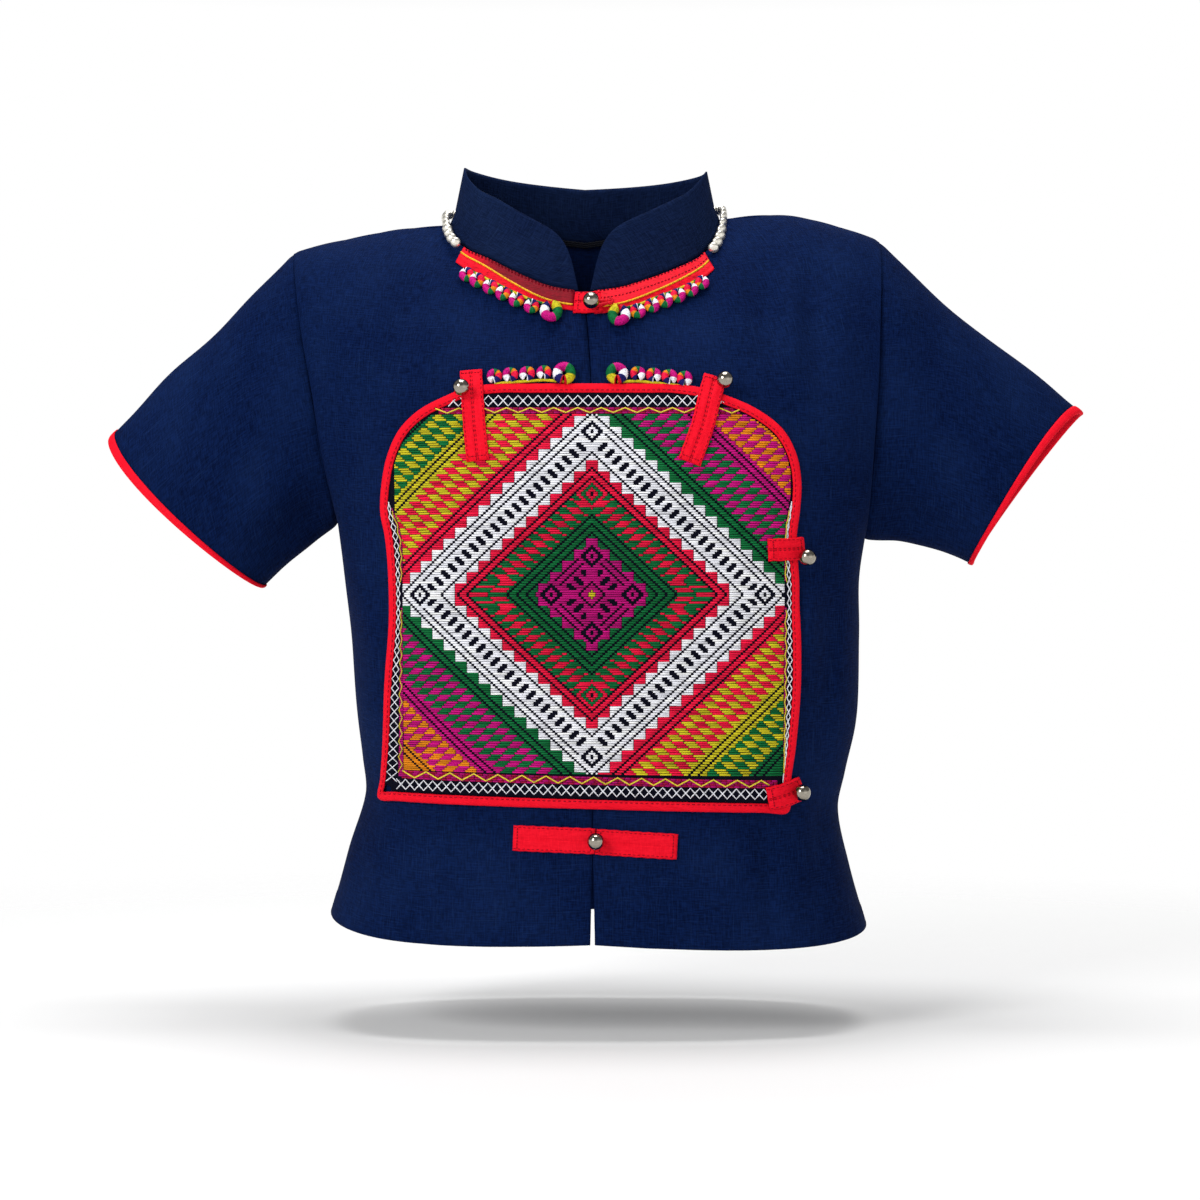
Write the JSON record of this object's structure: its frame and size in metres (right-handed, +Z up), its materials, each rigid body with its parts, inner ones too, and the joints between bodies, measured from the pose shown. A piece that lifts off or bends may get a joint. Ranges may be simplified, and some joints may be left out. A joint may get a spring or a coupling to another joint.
{
  "type": "embroidered top",
  "caption": "Short-sleeved woven top with a stand collar, buttoned embroidered bib, red bindings and bead trims, filled out as worn.",
  "frame": {"origin": "between the two neck points of the shoulders, at their height, on the shoulder plane", "axes": "+Z up; -Y out of the chest; +X to the right seen from the front"},
  "size_m": [0.6419, 0.2227, 0.5041],
  "materials": {
    "navy_cloth": "slubbed plain weave, matte",
    "red_cloth": "plain cotton and satin, slight sheen",
    "embroidery": "supplementary-weft silk floats over black cotton",
    "wrapped_thread": "wrapped coloured yarn",
    "silver_beads": "bright silver",
    "polished_metal": "polished nickel"
  },
  "bodies": {
    "root": {"front_left": "navy_cloth", "front_right": "navy_cloth", "back": "navy_cloth", "sleeve_left": "navy_cloth", "sleeve_right": "navy_cloth", "collar": "navy_cloth", "cuff_binding_left": "red_cloth", "cuff_binding_right": "red_cloth", "panel_binding": "red_cloth", "panel_tab_top_left": "red_cloth", "panel_tab_top_right": "red_cloth", "panel_tab_side": "red_cloth", "panel_tab_corner": "red_cloth", "hem_strap_left": "red_cloth", "hem_strap_right": "red_cloth", "neck_band_left": "red_cloth", "neck_band_right": "red_cloth", "neck_loop": "red_cloth", "coil_trim_neck_left": "wrapped_thread", "coil_trim_neck_right": "wrapped_thread", "coil_trim_panel_left": "wrapped_thread", "coil_trim_panel_right": "wrapped_thread", "chest_panel": "embroidery", "silver_bead_row": "silver_beads", "button_neck": "polished_metal", "button_top_left": "polished_metal", "button_top_right": "polished_metal", "button_side": "polished_metal", "button_corner": "polished_metal", "button_hem": "polished_metal"}
  },
  "joints": []
}
